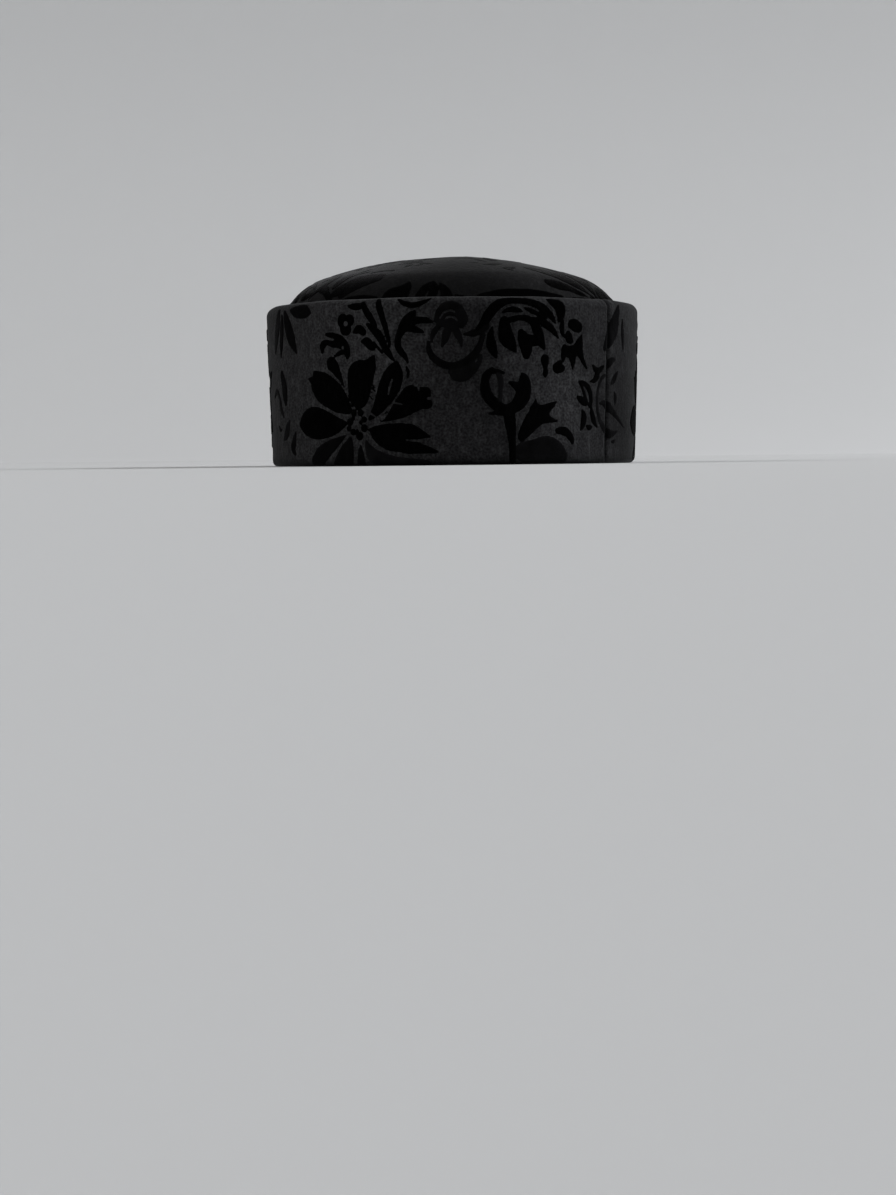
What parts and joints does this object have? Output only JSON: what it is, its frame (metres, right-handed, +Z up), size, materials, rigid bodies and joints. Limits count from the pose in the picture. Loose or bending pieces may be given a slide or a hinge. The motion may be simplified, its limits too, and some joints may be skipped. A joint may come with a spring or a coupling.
{
  "type": "tubeteika skullcap",
  "caption": "Oval skullcap with a stiff upright padded band and a soft domed crown tucked inside its top edge, hollow below for the head.",
  "frame": {"origin": "centre of the rim's oval, on the plane that the cap rests on", "axes": "+Z up towards the top of the crown, -Y towards the forehead, +X towards the wearer's left side, which is the viewer's right from the front"},
  "size_m": [0.174, 0.21, 0.097],
  "materials": {
    "band_velvet": "matte black devore velvet, dark grey ground with a black raised pile",
    "crown_velvet": "black velvet with a soft sheen"
  },
  "bodies": {
    "root": {"band": "band_velvet", "crown": "crown_velvet"}
  },
  "joints": []
}
